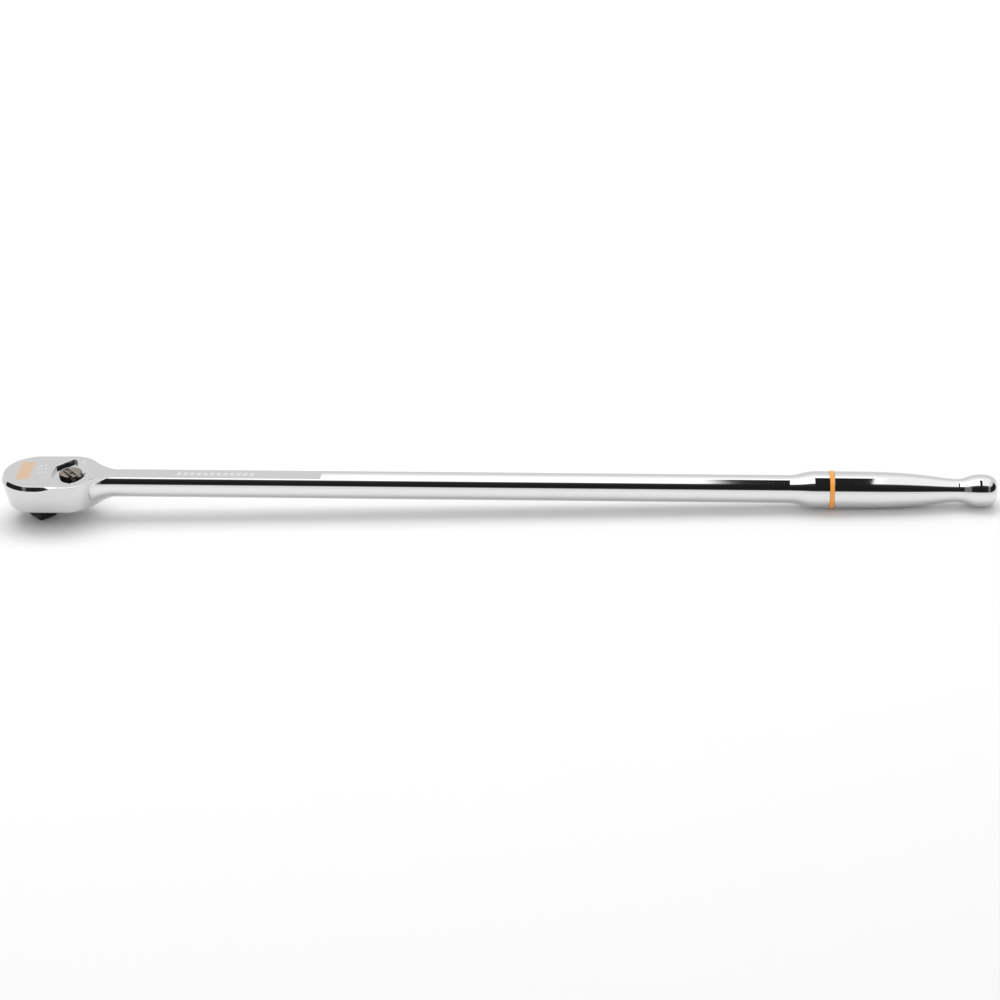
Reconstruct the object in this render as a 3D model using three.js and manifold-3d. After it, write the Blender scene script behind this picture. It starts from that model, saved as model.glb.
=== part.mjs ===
// A long-handle reversible ratchet wrench with a 12.7 mm square drive, in millimetres, +Z up.
// The origin is the centre of the square drive's end face. The handle runs along +X and the
// reversing lever is on top. The drive turns about the Z axis through the origin.
import * as THREE from 'three';
import { mergeVertices } from 'three/addons/utils/BufferGeometryUtils.js';
import Module from 'manifold-3d';

const wasm = await Module();
wasm.setup();

// ---- driving dimensions ------------------------------------------------------------------
const GAP = 0.3;                    // running gap between two pieces

// heights, up from the end of the square drive
const HEAD_BOTTOM = 11.3;
const HEAD_TOP = 30.5;
const BAR_AXIS = 23.1;              // centre line of the round handle

// head, seen from above
const HEAD_HALF_WIDTH = 22.7;
const HEAD_END_CENTRE = -0.9;       // centre of the round end
const HEAD_STRAIGHT_END = 19;
const NECK_END = 47;
const NECK_HALF_WIDTH = 5.6;        // the neck ends inside the round bar
const TOP_CHAMFER = 1.8;
const TOP_CHAMFER_HEIGHT = 2.5;
const SIDE_DRAFT = 3.1;             // how much narrower the head is at its bottom
const BOTTOM_ROUND = 1.2;
const NECK_RISE_START = 30;
const NECK_FALL_START = 36;         // from here the top slopes down to the bar's flat

// handle: [distance from the drive axis, radius] of the bar, the grip and the knob
const BAR_RADIUS = 8.65;
const BAR_START = 34;
const GRIP_START = 462;
const GRIP_RADIUS = 11.25;
const GRIP_FULL = 478;
const GRIP_TAPER = 505;
const WAIST = 565;
const WAIST_RADIUS = 7.15;
const KNOB = 579;
const KNOB_RADIUS = 10.15;
const HANDLE_END = 588.5;
const HANDLE_END_RADIUS = 5;
const FLAT_HEIGHT = 6.6;            // flat on top of the bar, above its centre line
const FLAT_END = 176;

// orange ring in the grip
const RING_AT = 488;
const RING_WIDTH = 2.8;
const RING_DEPTH = 1.3;
const RING_PROUD = 0.3;

// gear and square drive
const TEETH = 60;
const GEAR_RADIUS = 12;
const TOOTH_DEPTH = 0.8;
const GEAR_BOTTOM = 14.2;
const GEAR_TOP = 24.4;
const HUB_RADIUS = 9.2;
const HUB_BOTTOM = 10.9;
const JOURNAL_RADIUS = 6.7;
const JOURNAL_TOP = 27.3;
const DRIVE_SIZE = 12.7;            // across the flats
const DRIVE_CORNER = 1.3;
const DRIVE_END_CHAMFER = 0.9;
const DRIVE_TURN = Math.PI / 4;     // the square stands corner-on to the handle

// ball and spring in one flat of the drive
const BALL_RADIUS = 2.4;
const BALL_HEIGHT = 5.6;
const BALL_FROM_AXIS = 5.05;
const BALL_BORE = 2.55;
const BALL_MOUTH = 2.3;
const BALL_DIRECTION = DRIVE_TURN + Math.PI / 2;
const DETENT_BORE_END = -2.9;

// pocket in the head
const POCKET_TOP = 25.6;
const POCKET_RADIUS = 12.6;
const CHAMBER_HALF_WIDTH = 10.1;
const LEDGE = 13.4;                 // height of the ledge that the cover plate sits on

// cover plate and its screws
const COVER_BOTTOM = 11.5;
const COVER_TOP = 13.2;
const COVER_RADIUS = 17.3;
const COVER_LOBE_AT = 27.6;
const COVER_LOBE_RADIUS = 4;
const COVER_BORE = 9.5;
const SEAL_SEAT_RADIUS = 11.3;
const SEAL_SEAT = 12.2;
const SCREW_CIRCLE = 14.9;
const SCREW_ANGLE = THREE.MathUtils.degToRad(115);
const SCREW_HEAD_RADIUS = 2.1;
const SCREW_RADIUS = 1.2;
const SCREW_TOP = 17.6;

// pawls
const PAWL_PIVOT = 15;
const PAWL_ENGAGE = THREE.MathUtils.degToRad(5);
const PAWL_RIDE = THREE.MathUtils.degToRad(1);
const PAWL_HEIGHT = 5.05;
const LOWER_PAWL_BOTTOM = 13.9;
const UPPER_PAWL_BOTTOM = 19.25;

// reversing lever
const LEVER_AT = 19.5;
const LEVER_TURN = THREE.MathUtils.degToRad(-50);
const RECESS_FLOOR = 28.1;
const RECESS_APEX = 1.6;            // its two side walls would meet here, at a right angle
const RECESS_INNER = 9.3;
const RECESS_OUTER = 30.3;
const RECESS_OUTER_RADIUS = 18.15;
const LEVER_BOTTOM = 28.4;
const LEVER_DISC_TOP = 30;
const LEVER_TOP = 31.9;
const LEVER_DISC_RADIUS = 7.8;
const THUMB_REACH = 10.3;
const TAIL_REACH = 9;
const LEVER_NECK_RADIUS = 3.9;
const LEVER_SHAFT_RADIUS = 3.4;
const LEVER_SHAFT_BOTTOM = 13.9;
const LEVER_BORE = 4.2;
const CLIP_BOTTOM = 24.65;
const CLIP_TOP = 25.2;
const CLIP_GROOVE_RADIUS = 2.9;
const LEVER_SEAL_HEIGHT = 26.8;

// plungers in the lever's shaft, measured from the lever's axis
const PLUNGER_RADIUS = 1.05;
const PLUNGER_BORE = 1.25;
const PLUNGER_TIP = 4.6;
const PLUNGER_BACK = 1.5;
const PLUNGER_BORE_END = -2.4;
const LOWER_PLUNGER_HEIGHT = LOWER_PAWL_BOTTOM + PAWL_HEIGHT / 2;
const UPPER_PLUNGER_HEIGHT = UPPER_PAWL_BOTTOM + PAWL_HEIGHT / 2;

// ---- materials ---------------------------------------------------------------------------
const finish = (color, roughness, metalness) =>
  new THREE.MeshStandardMaterial({ color, roughness, metalness });
const chrome = finish(0xd9dadb, 0.06, 1);
const castMetal = finish(0x9a9184, 0.35, 1);
const blackSteel = finish(0x1b1a19, 0.4, 1);
const toolSteel = finish(0x8d8b88, 0.35, 1);
const springSteel = finish(0x6f6f70, 0.3, 1);
const bronze = finish(0xa37b45, 0.4, 1);
const orange = finish(0xe59a3a, 0.45, 0);
const rubber = finish(0x161616, 0.8, 0);

// ---- from geometry to solid and back -----------------------------------------------------
function solid(geometry) {
  const bare = geometry.clone();
  for (const name of Object.keys(bare.attributes)) {
    if (name !== 'position') bare.deleteAttribute(name);
  }
  const merged = mergeVertices(bare, 1e-4);
  const corners = merged.attributes.position.array;
  const index = merged.index.array;
  const triangles = [];
  for (let i = 0; i < index.length; i += 3) {
    const [a, b, c] = [index[i], index[i + 1], index[i + 2]];
    if (a !== b && b !== c && c !== a) triangles.push(a, b, c);
  }
  if (signedVolume(corners, triangles) < 0) triangles.reverse();
  return new wasm.Manifold(new wasm.Mesh({
    numProp: 3,
    vertProperties: new Float32Array(corners),
    triVerts: new Uint32Array(triangles),
  }));
}

function signedVolume(corners, triangles) {
  const [a, b, c] = [new THREE.Vector3(), new THREE.Vector3(), new THREE.Vector3()];
  let volume = 0;
  for (let i = 0; i < triangles.length; i += 3) {
    a.fromArray(corners, 3 * triangles[i]);
    b.fromArray(corners, 3 * triangles[i + 1]);
    c.fromArray(corners, 3 * triangles[i + 2]);
    volume += a.dot(b.cross(c)) / 6;
  }
  return volume;
}

function surface(body) {
  const mesh = body.getMesh();
  const geometry = new THREE.BufferGeometry();
  geometry.setAttribute('position', new THREE.BufferAttribute(mesh.vertProperties, 3));
  geometry.setIndex(new THREE.BufferAttribute(mesh.triVerts, 1));
  geometry.computeVertexNormals();
  return geometry;
}

// ---- shapes that many pieces use ---------------------------------------------------------
function disc(radius, low, high, x = 0, y = 0, sides = 32, topRadius = radius) {
  const geometry = new THREE.CylinderGeometry(topRadius, radius, high - low, sides);
  return geometry.rotateX(Math.PI / 2).translate(x, y, (low + high) / 2);
}

function prism(shape, low, high, curveSegments = 12) {
  const options = { depth: high - low, bevelEnabled: false, curveSegments };
  return new THREE.ExtrudeGeometry(shape, options).translate(0, 0, low);
}

function chamferedPrism(shape, low, high, height, inset, curveSegments = 12) {
  const options = {
    depth: high - low - 2 * height, curveSegments,
    bevelThickness: height, bevelSize: inset, bevelOffset: -inset, bevelSegments: 1,
  };
  return new THREE.ExtrudeGeometry(shape, options).translate(0, 0, low + height);
}

// profile points are [radius, height]; the axis is Z
function turned(profile, sides = 32) {
  const points = profile.map(([radius, height]) => new THREE.Vector2(radius, height));
  return new THREE.LatheGeometry(points, sides).rotateX(Math.PI / 2);
}

function washer(inner, outer, low, high, sides) {
  const profile = [[inner, low], [outer, low], [outer, high], [inner, high], [inner, low]];
  return turned(profile, sides);
}

function roundRing(centreRadius, sectionRadius, height, sides) {
  const geometry = new THREE.TorusGeometry(centreRadius, sectionRadius, 6, sides);
  return geometry.translate(0, 0, height);
}

function polygon(points) {
  return new THREE.Shape(points.map(([x, y]) => new THREE.Vector2(x, y)));
}

// lays a piece made along +Z down so that it points away from the Z axis
function radial(geometry, direction, x, height) {
  return geometry.rotateY(Math.PI / 2).rotateZ(direction).translate(x, 0, height);
}

class Coil extends THREE.Curve {
  constructor(radius, length, turns) {
    super();
    Object.assign(this, { radius, length, turns });
  }

  getPoint(t, target = new THREE.Vector3()) {
    const angle = 2 * Math.PI * this.turns * t;
    return target.set(this.radius * Math.cos(angle), this.radius * Math.sin(angle), this.length * t);
  }
}

function spring(outerRadius, wireRadius, length, turns) {
  const section = [0, 1, 2, 3, 4].map((i) => 0.4 * Math.PI * i)
    .map((angle) => [wireRadius * Math.cos(angle), wireRadius * Math.sin(angle)]);
  const path = new Coil(outerRadius - wireRadius, length - 2 * wireRadius, turns);
  const options = { steps: turns * 9, extrudePath: path, bevelEnabled: false };
  return new THREE.ExtrudeGeometry(polygon(section), options).translate(0, 0, wireRadius);
}

// ---- body --------------------------------------------------------------------------------
function headOutline() {
  const shoulder = HEAD_STRAIGHT_END + 14;
  const throat = NECK_END - 13;
  const throatWidth = NECK_HALF_WIDTH + 1.9;
  const outline = new THREE.Shape();
  outline.moveTo(NECK_END, -NECK_HALF_WIDTH);
  outline.lineTo(NECK_END, NECK_HALF_WIDTH);
  outline.bezierCurveTo(throat, throatWidth, shoulder, HEAD_HALF_WIDTH,
    HEAD_STRAIGHT_END, HEAD_HALF_WIDTH);
  outline.lineTo(HEAD_END_CENTRE, HEAD_HALF_WIDTH);
  outline.absarc(HEAD_END_CENTRE, 0, HEAD_HALF_WIDTH, Math.PI / 2, 1.5 * Math.PI);
  outline.lineTo(HEAD_STRAIGHT_END, -HEAD_HALF_WIDTH);
  outline.bezierCurveTo(shoulder, -HEAD_HALF_WIDTH, throat, -throatWidth,
    NECK_END, -NECK_HALF_WIDTH);
  return outline;
}

// a side view, drawn in X and Z, made 60 mm wide across the wrench
function sideView(shape) {
  const options = { depth: 60, bevelEnabled: false, curveSegments: 8 };
  return new THREE.ExtrudeGeometry(shape, options).translate(0, 0, -30).rotateX(Math.PI / 2);
}

// the underside of the head rises to meet the bar
function headSideView() {
  const neckBottom = BAR_AXIS - BAR_RADIUS + 0.6;
  const pull = 0.364 * (NECK_END - NECK_RISE_START);
  const side = new THREE.Shape();
  side.moveTo(-40, HEAD_TOP + 5);
  side.lineTo(-40, HEAD_BOTTOM);
  side.lineTo(NECK_RISE_START, HEAD_BOTTOM);
  side.bezierCurveTo(NECK_RISE_START + pull, HEAD_BOTTOM, NECK_END - pull, neckBottom,
    NECK_END, neckBottom);
  side.lineTo(NECK_END, HEAD_TOP + 5);
  return sideView(side);
}

function headBlank() {
  const outline = headOutline();
  const chamfered = chamferedPrism(outline, -20, HEAD_TOP, TOP_CHAMFER_HEIGHT, TOP_CHAMFER);
  const wide = 0.2;
  const drafted = chamferedPrism(outline, HEAD_BOTTOM - 1, HEAD_TOP + 30, 14.5, SIDE_DRAFT);
  const scale = 1 + wide / HEAD_HALF_WIDTH;
  const rounded = chamferedPrism(outline, HEAD_BOTTOM, HEAD_TOP + 20, BOTTOM_ROUND,
    SIDE_DRAFT + BOTTOM_ROUND);
  return solid(chamfered)
    .intersect(solid(drafted.scale(scale, scale, 1)))
    .intersect(solid(rounded))
    .intersect(solid(headSideView()));
}

function handleBlank() {
  const profile = [[0, BAR_START], [BAR_RADIUS, BAR_START], [BAR_RADIUS, GRIP_START]];
  // an S-curve along the handle; lead and tail say how far the ends run on before they bend
  const sweep = (steps, [x1, r1], lead, [x2, r2], tail, tailRadius = r2) => {
    const curve = new THREE.CubicBezierCurve(new THREE.Vector2(r1, x1),
      new THREE.Vector2(r1, x1 + lead), new THREE.Vector2(tailRadius, x2 - tail),
      new THREE.Vector2(r2, x2));
    curve.getPoints(steps).slice(1).forEach((point) => profile.push([point.x, point.y]));
  };
  sweep(5, [GRIP_START, BAR_RADIUS], 6, [GRIP_FULL, GRIP_RADIUS], 6);
  profile.push([GRIP_RADIUS, GRIP_TAPER]);
  sweep(7, [GRIP_TAPER, GRIP_RADIUS], 40, [WAIST, WAIST_RADIUS], 12);
  sweep(5, [WAIST, WAIST_RADIUS], 4.5, [KNOB, KNOB_RADIUS], 7.5);
  sweep(4, [KNOB, KNOB_RADIUS], 5, [HANDLE_END, HANDLE_END_RADIUS], 0, HANDLE_END_RADIUS + 3.6);
  profile.push([0, HANDLE_END]);
  return turned(profile, 28).rotateY(Math.PI / 2).translate(0, 0, BAR_AXIS);
}

// everything above the neck's slope and the flat on the bar
function topFlatCut() {
  const flat = BAR_AXIS + FLAT_HEIGHT;
  return sideView(polygon([[BAR_START - 2, HEAD_TOP], [NECK_FALL_START, HEAD_TOP], [NECK_END, flat],
    [FLAT_END, flat], [FLAT_END, flat + 10], [BAR_START - 2, flat + 10]]));
}

function ringGroove() {
  const inner = GRIP_RADIUS - RING_DEPTH;
  const low = RING_AT - RING_WIDTH / 2 - GAP / 2;
  const high = RING_AT + RING_WIDTH / 2 + GAP / 2;
  return washer(inner, GRIP_RADIUS + 2, low, high, 28)
    .rotateY(Math.PI / 2).translate(0, 0, BAR_AXIS);
}

// plan of the room for the pawls and the lever's shaft
function chamberPlan() {
  const w = CHAMBER_HALF_WIDTH;
  return polygon([[8, -w], [14.6, -w], [18.6, -7.2], [LEVER_AT, -5.7], [LEVER_AT, 5.7],
    [18.6, 7.2], [14.6, w], [8, w]]);
}

function coverPlan(extra = 0) {
  const big = COVER_RADIUS + extra;
  const small = COVER_LOBE_RADIUS + extra;
  const tangent = Math.acos((big - small) / COVER_LOBE_AT);
  const plan = new THREE.Shape();
  plan.absarc(0, 0, big, tangent, 2 * Math.PI - tangent);
  plan.absarc(COVER_LOBE_AT, 0, small, -tangent, tangent);
  return plan;
}

function screwPlaces() {
  const x = SCREW_CIRCLE * Math.cos(SCREW_ANGLE);
  const y = SCREW_CIRCLE * Math.sin(SCREW_ANGLE);
  return [[x, y], [x, -y], [COVER_LOBE_AT + 0.2, 0]];
}

// a fan with straight side walls at 45 degrees, a round outer wall and a slightly bowed inner one
function leverRecess() {
  const radius = RECESS_OUTER_RADIUS;
  const centre = RECESS_OUTER - radius;
  const near = RECESS_INNER - RECESS_APEX;
  const half = (centre - RECESS_APEX) / 2;
  const far = half + Math.sqrt(radius * radius / 2 - half * half);
  const corner = Math.atan2(far, RECESS_APEX + far - centre);
  const fan = new THREE.Shape();
  fan.moveTo(RECESS_INNER, -near);
  fan.lineTo(RECESS_APEX + far, -far);
  fan.absarc(centre, 0, radius, -corner, corner);
  fan.lineTo(RECESS_INNER, near);
  fan.quadraticCurveTo(RECESS_INNER - 1.5, 0, RECESS_INNER, -near);
  return prism(fan, RECESS_FLOOR, HEAD_TOP + 5);
}

function wrenchBody() {
  let body = headBlank().add(solid(handleBlank()));
  const cuts = [
    topFlatCut(), ringGroove(), leverRecess(),
    disc(POCKET_RADIUS, HEAD_BOTTOM, POCKET_TOP, 0, 0, 48),
    prism(chamberPlan(), HEAD_BOTTOM, POCKET_TOP - 0.01),
    disc(5.7, HEAD_BOTTOM, POCKET_TOP - 0.02, LEVER_AT),
    disc(JOURNAL_RADIUS + GAP, POCKET_TOP - 1, JOURNAL_TOP + GAP),
    disc(LEVER_BORE, POCKET_TOP - 1, RECESS_FLOOR + 1, LEVER_AT),
    prism(coverPlan(0.2), HEAD_BOTTOM - 5, LEDGE, 18),
  ];
  for (const [x, y] of screwPlaces()) {
    cuts.push(disc(SCREW_RADIUS + GAP, LEDGE - 1, SCREW_TOP + GAP, x, y, 16));
  }
  for (const cut of cuts) body = body.subtract(solid(cut));
  return body;
}

function gripRing() {
  const inner = GRIP_RADIUS - RING_DEPTH + GAP;
  const outer = GRIP_RADIUS + RING_PROUD;
  const half = RING_WIDTH / 2;
  const profile = [[inner, -half], [outer - 0.4, -half], [outer, -half * 0.5], [outer, half * 0.5],
    [outer - 0.4, half], [inner, half], [inner, -half]];
  return turned(profile, 28).rotateY(Math.PI / 2).translate(RING_AT, 0, BAR_AXIS);
}

// ---- cover plate, screws, seal and washers -------------------------------------------------
function coverPlate() {
  let plate = solid(prism(coverPlan(), COVER_BOTTOM, COVER_TOP, 18));
  const cuts = [
    disc(COVER_BORE, COVER_BOTTOM - 1, COVER_TOP + 1, 0, 0, 32),
    disc(SEAL_SEAT_RADIUS, SEAL_SEAT, COVER_TOP + 1, 0, 0, 32),
  ];
  const wide = SCREW_HEAD_RADIUS + GAP;
  const narrow = SCREW_RADIUS + GAP;
  for (const [x, y] of screwPlaces()) {
    cuts.push(disc(narrow, COVER_BOTTOM - 1, COVER_TOP + 1, x, y, 20));
    cuts.push(disc(wide + 1, COVER_BOTTOM - 1, COVER_BOTTOM + wide - narrow, x, y, 20, narrow));
  }
  for (const cut of cuts) plate = plate.subtract(solid(cut));
  return plate;
}

// a countersunk screw with a hexagon socket, seen from below
function coverScrew([x, y]) {
  const low = COVER_BOTTOM + 0.1;
  const profile = [[0, low], [SCREW_HEAD_RADIUS, low], [SCREW_HEAD_RADIUS, low + 0.15],
    [SCREW_RADIUS, low + 0.15 + SCREW_HEAD_RADIUS - SCREW_RADIUS], [SCREW_RADIUS, SCREW_TOP - 0.4],
    [SCREW_RADIUS - 0.4, SCREW_TOP], [0, SCREW_TOP]];
  const socket = disc(1, low - 1, low + 1.1, 0, 0, 6);
  return surface(solid(turned(profile, 16)).subtract(solid(socket))).translate(x, y, 0);
}

function waveWasher() {
  const geometry = washer(8, 11.5, -0.2, 0.2, 36);
  const position = geometry.attributes.position;
  for (let i = 0; i < position.count; i += 1) {
    const angle = Math.atan2(position.getY(i), position.getX(i));
    position.setZ(i, position.getZ(i) + 0.15 * Math.cos(3 * angle));
  }
  return geometry.translate(0, 0, (GEAR_TOP + POCKET_TOP) / 2);
}

// ---- gear with the square drive ------------------------------------------------------------
function toothedPlan(growth, turn) {
  const points = [];
  for (let i = 0; i < 2 * TEETH; i += 1) {
    const radius = GEAR_RADIUS + growth - (i % 2) * TOOTH_DEPTH;
    const angle = turn + (i * Math.PI) / TEETH;
    points.push([radius * Math.cos(angle), radius * Math.sin(angle)]);
  }
  return polygon(points);
}

function squarePlan() {
  const half = DRIVE_SIZE / 2;
  const inner = half - DRIVE_CORNER;
  const square = new THREE.Shape();
  square.absarc(inner, inner, DRIVE_CORNER, 0, Math.PI / 2);
  square.absarc(-inner, inner, DRIVE_CORNER, Math.PI / 2, Math.PI);
  square.absarc(-inner, -inner, DRIVE_CORNER, Math.PI, 1.5 * Math.PI);
  square.absarc(inner, -inner, DRIVE_CORNER, 1.5 * Math.PI, 2 * Math.PI);
  return square;
}

function squareDrive() {
  const options = {
    depth: HUB_BOTTOM + 1 - DRIVE_END_CHAMFER, curveSegments: 4, bevelSegments: 1,
    bevelThickness: DRIVE_END_CHAMFER, bevelSize: DRIVE_END_CHAMFER, bevelOffset: -DRIVE_END_CHAMFER,
  };
  return new THREE.ExtrudeGeometry(squarePlan(), options)
    .translate(0, 0, DRIVE_END_CHAMFER).rotateZ(DRIVE_TURN);
}

function driveGear() {
  const shaft = turned([[0, HUB_BOTTOM], [HUB_RADIUS - 0.5, HUB_BOTTOM], [HUB_RADIUS, HUB_BOTTOM + 0.5],
    [HUB_RADIUS, GEAR_BOTTOM + 1], [JOURNAL_RADIUS, GEAR_BOTTOM + 1], [JOURNAL_RADIUS, JOURNAL_TOP - 0.4],
    [JOURNAL_RADIUS - 0.4, JOURNAL_TOP], [0, JOURNAL_TOP]], 32);
  const bore = disc(BALL_BORE, DETENT_BORE_END, DRIVE_SIZE / 2 - 0.3, 0, 0, 24);
  const mouth = disc(BALL_MOUTH, DRIVE_SIZE / 2 - 1, DRIVE_SIZE / 2 + 1, 0, 0, 24);
  return solid(prism(toothedPlan(0, 0), GEAR_BOTTOM, GEAR_TOP))
    .add(solid(shaft))
    .add(solid(squareDrive()))
    .subtract(solid(radial(bore, BALL_DIRECTION, 0, BALL_HEIGHT)))
    .subtract(solid(radial(mouth, BALL_DIRECTION, 0, BALL_HEIGHT)));
}

function detentBall() {
  return radial(new THREE.SphereGeometry(BALL_RADIUS, 16, 10).translate(0, 0, BALL_FROM_AXIS),
    BALL_DIRECTION, 0, BALL_HEIGHT);
}

function detentSpring() {
  const start = DETENT_BORE_END + 0.2;
  const length = BALL_FROM_AXIS - BALL_RADIUS - start - 0.1;
  return radial(spring(2.2, 0.3, length, 4).translate(0, 0, start), BALL_DIRECTION, 0, BALL_HEIGHT);
}

// ---- pawls -----------------------------------------------------------------------------------
// Plan of a pawl half way through its rock: toothed horns at both ends and a hollow back.
function pawlPlan() {
  const horn = GEAR_RADIUS + 0.15;
  const relief = GEAR_RADIUS + 0.9;
  const inner = THREE.MathUtils.degToRad(17);
  const outer = THREE.MathUtils.degToRad(41);
  const back = PLUNGER_TIP + 0.35;
  const plan = new THREE.Shape();
  plan.absarc(0, 0, horn, -outer, -inner);
  plan.absarc(0, 0, relief, -inner, inner);
  plan.absarc(0, 0, horn, inner, outer);
  plan.lineTo(11.4, 9.6);
  plan.lineTo(13.4, 9.5);
  plan.lineTo(17, 6.4);
  plan.lineTo(17.2, 4.9);
  plan.absarc(LEVER_AT, 0, back, Math.PI * 0.74, Math.PI * 1.26);
  plan.lineTo(17.2, -4.9);
  plan.lineTo(17, -6.4);
  plan.lineTo(13.4, -9.5);
  plan.lineTo(11.4, -9.6);
  return plan;
}

function rocked(geometry, angle) {
  return geometry.translate(-PAWL_PIVOT, 0, 0).rotateZ(angle).translate(PAWL_PIVOT, 0, 0);
}

// The teeth of both horns are cut to fit the gear with that horn pressed in.
function pawl(bottom, gearTurn, restAngle) {
  let body = solid(prism(pawlPlan(), bottom, bottom + PAWL_HEIGHT, 10));
  for (const angle of [PAWL_ENGAGE, -PAWL_ENGAGE]) {
    const gear = prism(toothedPlan(GAP, gearTurn), bottom - 1, bottom + PAWL_HEIGHT + 1);
    body = body.subtract(solid(rocked(gear, -angle)));
  }
  return rocked(surface(body), restAngle);
}

// ---- reversing lever and what its shaft carries ----------------------------------------------
function padPlan() {
  const plan = new THREE.Shape();
  plan.moveTo(-TAIL_REACH + 3.2, -3.6);
  plan.quadraticCurveTo(0, -5.6, THUMB_REACH - 3.4, -3.9);
  plan.absarc(THUMB_REACH - 3.8, 0, 3.8, -1.2, 1.2);
  plan.quadraticCurveTo(0, 5.6, -TAIL_REACH + 3.2, 3.6);
  plan.absarc(-TAIL_REACH + 3.4, 0, 3.4, 0.6 * Math.PI, 1.4 * Math.PI);
  return plan;
}

const plungerDirection = Math.PI + LEVER_TURN;

function reversingLever() {
  const shaft = turned([[0, LEVER_SHAFT_BOTTOM], [LEVER_SHAFT_RADIUS, LEVER_SHAFT_BOTTOM],
    [LEVER_SHAFT_RADIUS, CLIP_BOTTOM - 0.15], [CLIP_GROOVE_RADIUS, CLIP_BOTTOM - 0.15],
    [CLIP_GROOVE_RADIUS, CLIP_TOP + 0.15], [LEVER_NECK_RADIUS, CLIP_TOP + 0.15],
    [LEVER_NECK_RADIUS, LEVER_SEAL_HEIGHT - 0.6], [3, LEVER_SEAL_HEIGHT - 0.6],
    [3, LEVER_SEAL_HEIGHT + 0.6], [LEVER_NECK_RADIUS, LEVER_SEAL_HEIGHT + 0.6],
    [LEVER_NECK_RADIUS, LEVER_BOTTOM + 1], [0, LEVER_BOTTOM + 1]], 24);
  let lever = solid(disc(LEVER_DISC_RADIUS, LEVER_BOTTOM, LEVER_DISC_TOP, 0, 0, 28))
    .add(solid(chamferedPrism(padPlan(), LEVER_BOTTOM - 4, LEVER_TOP, 0.6, 0.5, 8))
      .intersect(solid(disc(20, LEVER_BOTTOM, LEVER_TOP + 1))))
    .add(solid(shaft));
  for (const height of [LOWER_PLUNGER_HEIGHT, UPPER_PLUNGER_HEIGHT]) {
    const bore = disc(PLUNGER_BORE, PLUNGER_BORE_END, LEVER_SHAFT_RADIUS + 2, 0, 0, 12);
    lever = lever.subtract(solid(radial(bore, Math.PI, 0, height)));
  }
  return surface(lever).rotateZ(LEVER_TURN).translate(LEVER_AT, 0, 0);
}

function plunger(height) {
  const dome = PLUNGER_TIP - 0.8;
  const profile = [[0, PLUNGER_BACK], [PLUNGER_RADIUS, PLUNGER_BACK], [PLUNGER_RADIUS, dome],
    [PLUNGER_RADIUS * 0.8, dome + 0.5], [PLUNGER_RADIUS * 0.4, PLUNGER_TIP - 0.05], [0, PLUNGER_TIP]];
  return radial(turned(profile, 12), plungerDirection, LEVER_AT, height);
}

function plungerSpring(height) {
  const start = PLUNGER_BORE_END + 0.1;
  const coil = spring(1, 0.17, PLUNGER_BACK - 0.1 - start, 5).translate(0, 0, start);
  return radial(coil, plungerDirection, LEVER_AT, height);
}

function leverClip() {
  const outer = 5.2;
  const inner = CLIP_GROOVE_RADIUS + 0.15;
  const mouth = 0.5;
  const plan = new THREE.Shape();
  plan.absarc(0, 0, outer, mouth, 2 * Math.PI - mouth);
  plan.absarc(0, 0, inner, 2 * Math.PI - mouth, mouth, true);
  return prism(plan, CLIP_BOTTOM, CLIP_TOP, 16).rotateZ(LEVER_TURN).translate(LEVER_AT, 0, 0);
}

// ---- assembly ----------------------------------------------------------------------------------
const wrench = new THREE.Group();

function place(name, shape, material) {
  const geometry = shape.isBufferGeometry ? shape : surface(shape);
  const mesh = new THREE.Mesh(geometry, material);
  mesh.name = name;
  wrench.add(mesh);
}

place('wrench_body', wrenchBody(), chrome);
place('grip_ring', gripRing(), orange);
place('cover_plate', coverPlate(), blackSteel);
screwPlaces().forEach((spot, i) => place(`cover_screw_${i + 1}`, coverScrew(spot), blackSteel));
place('gear_seal', roundRing(10.25, 0.4, SEAL_SEAT + 0.55, 24), rubber);
place('thrust_washer', washer(HUB_RADIUS + GAP, 11.6, COVER_TOP + GAP, GEAR_BOTTOM - GAP, 32), bronze);
place('wave_washer', waveWasher(), springSteel);
place('drive_gear', driveGear(), blackSteel);
place('detent_ball', detentBall(), toolSteel);
place('detent_spring', detentSpring(), springSteel);
place('upper_pawl', pawl(UPPER_PAWL_BOTTOM, 0, PAWL_ENGAGE), toolSteel);
place('lower_pawl', pawl(LOWER_PAWL_BOTTOM, Math.PI / TEETH, PAWL_RIDE), toolSteel);
place('reversing_lever', reversingLever(), castMetal);
place('upper_plunger', plunger(UPPER_PLUNGER_HEIGHT), toolSteel);
place('lower_plunger', plunger(LOWER_PLUNGER_HEIGHT), toolSteel);
place('upper_plunger_spring', plungerSpring(UPPER_PLUNGER_HEIGHT), springSteel);
place('lower_plunger_spring', plungerSpring(LOWER_PLUNGER_HEIGHT), springSteel);
place('lever_seal', roundRing(3.6, 0.42, LEVER_SEAL_HEIGHT, 20).translate(LEVER_AT, 0, 0), rubber);
place('lever_clip', leverClip(), springSteel);

export default wrench;
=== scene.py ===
"""Looks of a long-handle ratchet wrench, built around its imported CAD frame.

The frame is in metres with the origin at the end of the square drive, +X along the handle and
+Z up through the head. Sizes in this file are in millimetres until they reach a mesh.
"""

import math

import bmesh
import bpy
from mathutils import Matrix, Vector


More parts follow.
